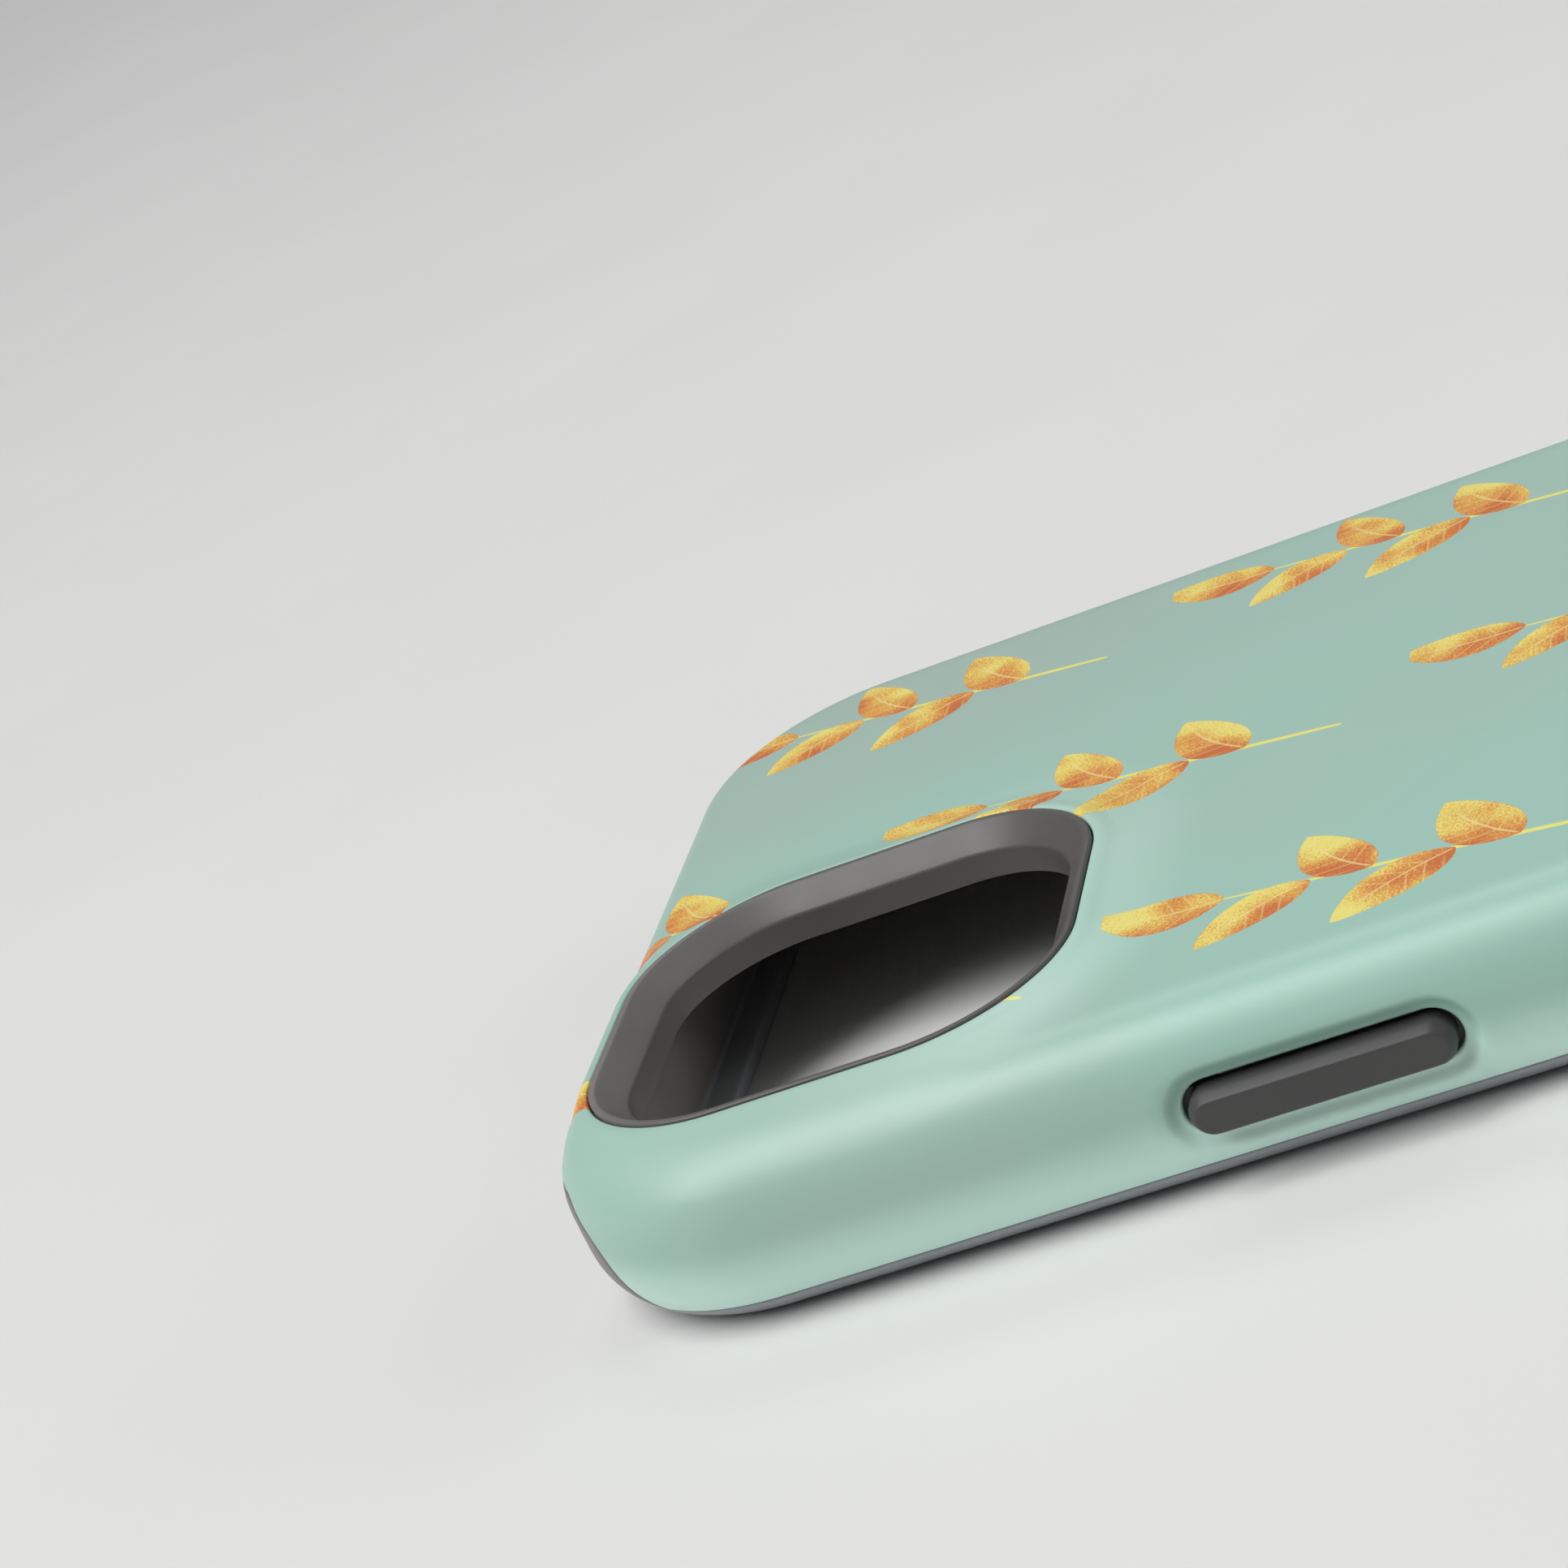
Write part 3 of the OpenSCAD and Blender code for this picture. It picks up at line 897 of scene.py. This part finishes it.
def within_repeat(x, y):
    """A point's place from the middle of the repeat that it lies in."""
    width, height = REPEAT
    column = (x / width + 0.5).math("FLOOR")
    lowered = y + column * (height / 2)
    row = (lowered / height + 0.5).math("FLOOR")
    return x - column * width, lowered - row * height


def painted_light_by_camera(x, y):
    """Painted light: a soft pale tone beside the camera opening, where light falls on the raised lip's
    slope.
    """
    straight = CAMERA_HALF - CAMERA_R
    out_x = (abs(x - CAMERA[0]) - straight[0]).math("MAXIMUM", 0.0)
    out_y = (abs(y - CAMERA[1]) - straight[1]).math("MAXIMUM", 0.0)
    gap = (out_x * out_x + out_y * out_y) ** 0.5 - CAMERA_R
    return gap.rise(8.0, 1.0) * y.rise(CAMERA[1] + 4.0, CAMERA[1] - 18.0)


def past_edge(x, y):
    """How far a point of the flat map is past the flat back, down the sides."""
    out_x = (abs(x) - CORNER[0]).math("MAXIMUM", 0.0)
    out_y = (abs(y) - CORNER[1]).math("MAXIMUM", 0.0)
    return (out_x * out_x + out_y * out_y) ** 0.5 - FLAT_R


def printed_plastic():
    """Satin-gloss hard plastic with the print under a thin clear layer. A greyer tone over the far part
    of the back is painted shade; a pale tone beside the camera opening and a lighter lower edge are
    painted light. None of them come from the lights."""
    material, tree, shader = new_material("printed_hard_plastic")
    attribute = tree.nodes.new("ShaderNodeAttribute")
    attribute.attribute_name = "unrolled"
    vector = attribute.outputs["Vector"]
    split = tree.nodes.new("ShaderNodeSeparateXYZ")
    tree.links.new(vector, split.inputs[0])
    x, y, is_inner = [Value(tree, socket) for socket in split.outputs]
    clouds = noise(tree, vector, 0.028, 2.0)
    paint = Paint(tree, ramp(clouds, [(0.35, srgb(171, 203, 190)), (0.65, srgb(165, 207, 192))]))
    # Painted shade: a greyer, darker tone over the far part of the back.
    paint.lay(srgb(172, 190, 182), x.rise(-8.0, 32.0) * y.rise(0.0, 50.0) * 0.55)
    # Painted light beside the camera opening.
    paint.lay(srgb(204, 238, 226), painted_light_by_camera(x, y) * 0.42)
    lay_leaves(paint, tree, vector, *within_repeat(x, y))
    # Painted light: the lower edge down the sides is painted paler.
    paint.lay(srgb(214, 248, 236), past_edge(x, y).rise(9.6, 13.6) * 0.95)
    paint.lay(srgb(128, 152, 142), is_inner.rise(0.02, 0.2))
    tree.links.new(paint.colour, shader.inputs["Base Color"])
    shader.inputs["IOR"].default_value = 1.5
    shader.inputs["Coat Weight"].default_value = 0.12
    shader.inputs["Coat Roughness"].default_value = 0.32
    rough_and_bump(tree, shader, object_mm(tree), 0.4, 0.06, [(1.6, 0.0025), (5.0, 0.0012)])
    return material


def soft_rubber(name, light, dark, roughness, grain_height, painted_light_rim=None):
    """Moulded flexible plastic: satin, with a fine even grain and faint flow marks. The last argument,
    if given, holds the heights in mm where a paler lower rim is full and where it ends; that rim and both
    ends get painted light, a paler tone."""
    material, tree, shader = new_material(name)
    vector = object_mm(tree)
    flow = noise(tree, vector, 0.09, 4.0, 0.6, (1.0, 0.35, 1.0))
    speck = noise(tree, vector, 7.0, 1.0)
    tone = (flow * 0.8 + speck * 0.2).limited()
    paint = Paint(tree, ramp(tone, [(0.3, dark), (0.7, light)]))
    if painted_light_rim:
        split = tree.nodes.new("ShaderNodeSeparateXYZ")
        tree.links.new(vector, split.inputs[0])
        y, z = Value(tree, split.outputs["Y"]), Value(tree, split.outputs["Z"])
        # Painted light: both ends are painted paler.
        paint.lay(srgb(140, 136, 134), abs(y).rise(HALF_L - 16.0, HALF_L - 1.0) * (flow * 0.4 + 0.5))
        # Painted light: the lower rim is painted paler, in place of light from below.
        paint.lay(srgb(172, 176, 181), z.rise(painted_light_rim[1], painted_light_rim[0]) * (flow * 0.5 + 0.55))
    tree.links.new(paint.colour, shader.inputs["Base Color"])
    shader.inputs["IOR"].default_value = 1.5
    grain = [(9.0, grain_height), (2.5, grain_height * 0.8)]
    rough_and_bump(tree, shader, vector, roughness, 0.08, grain)
    return material


def floor_material():
    """Plain pale matt ground."""
    material, tree, shader = new_material("floor")
    vector = object_mm(tree)
    cloud = noise(tree, vector, 0.02, 2.0)
    tree.links.new(ramp(cloud, [(0.3, srgb(231, 231, 229)), (0.7, srgb(233, 233, 231))]),
                   shader.inputs["Base Color"])
    shader.inputs["Roughness"].default_value = 0.7
    return material


# ---------------------------------------------------------------------------------------------
# Camera, lights and floor

def add_camera():
    """The main camera, close to the camera end and rolled to one side."""
    azimuth, elevation, roll = math.radians(-71.07), math.radians(18.72), math.radians(-25.58)
    target = Vector((54.41, HALF_L + 2.62, 0)) * MM
    distance = 342.71 * MM
    back = Vector((math.sin(azimuth) * math.cos(elevation),
                   -math.cos(azimuth) * math.cos(elevation), math.sin(elevation)))
    right = (-back).cross(Vector((0, 0, 1))).normalized()
    up = right.cross(-back)
    turned_right = right * math.cos(roll) + up * math.sin(roll)
    turned_up = up * math.cos(roll) - right * math.sin(roll)
    camera = bpy.data.objects.new("camera", bpy.data.cameras.new("camera"))
    camera.matrix_world = Matrix.Translation(target + back * distance) @ Matrix(
        (turned_right, turned_up, back)).transposed().to_4x4()
    camera.data.sensor_width = 36
    camera.data.lens = 96.55
    camera.data.clip_start = 0.01
    bpy.context.scene.collection.objects.link(camera)
    bpy.context.scene.camera = camera


def add_light(name, place, aim, size, power, colour=(1, 1, 1)):
    light = bpy.data.lights.new(name, "AREA")
    light.shape = "RECTANGLE"
    light.size, light.size_y = size
    light.energy = power
    light.color = colour
    obj = bpy.data.objects.new(name, light)
    obj.location = Vector(place)
    obj.rotation_euler = (Vector(aim) - obj.location).to_track_quat("-Z", "Y").to_euler()
    bpy.context.scene.collection.objects.link(obj)


def add_sky(direction, strength, spread):
    """Broad even light from far away, so that the floor stays pale into the distance."""
    light = bpy.data.lights.new("sky", "SUN")
    light.energy = strength
    light.angle = spread
    obj = bpy.data.objects.new("sky", light)
    obj.rotation_euler = Vector(direction).to_track_quat("Z", "Y").to_euler()
    bpy.context.scene.collection.objects.link(obj)


def add_studio():
    """Floor, lights and world."""
    half = 6000
    floor = mesh_object("floor", [(-half, -half, 0), (half, -half, 0), (half, half, 0), (-half, half, 0)],
                        [[0, 1, 2, 3]])
    floor.data.materials.append(floor_material())
    add_sky((-0.25, 0.35, 0.9), 0.95, math.radians(50))
    add_light("overhead", (-0.32, 0.42, 0.86), (0, 0.02, 0), (0.4, 1.1), 5.5)
    add_light("key", (0.1, -0.85, 0.45), (0, 0, 0), (0.6, 0.4), 1.2, (1.0, 0.99, 0.97))
    add_light("back", (1.3, 0.2, 1.5), (0, 0, 0), (0.8, 0.6), 3.8, (0.97, 0.99, 1.0))
    world = bpy.data.worlds.new("studio")
    world.use_nodes = True
    world.node_tree.nodes["Background"].inputs["Color"].default_value = (0.86, 0.88, 0.9, 1)
    world.node_tree.nodes["Background"].inputs["Strength"].default_value = 0.16
    bpy.context.scene.world = world
    bpy.context.scene.view_settings.view_transform = "Standard"


# ---------------------------------------------------------------------------------------------

add_camera()
shell = build_shell()
shell.data.materials.append(printed_plastic())
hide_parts("outer_shell")
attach(shell, "case")

liner = build_liner()
# The last numbers set the heights of a painted light along the liner's lower rim.
liner.data.materials.append(
    soft_rubber("liner_rubber", srgb(97, 94, 92), srgb(88, 86, 84), 0.4, 0.003, (1.5, 2.3)))
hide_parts("inner_liner")
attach(liner, "case")

button_rubber = soft_rubber("button_rubber", srgb(72, 71, 71), srgb(66, 65, 65), 0.48, 0.004)
for node, side, along, length in BUTTONS:
    button = build_button(node.replace("_button", "_key"), side, along, length)
    button.data.materials.append(button_rubber)
    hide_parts(node)
    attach(button, node)

add_studio()
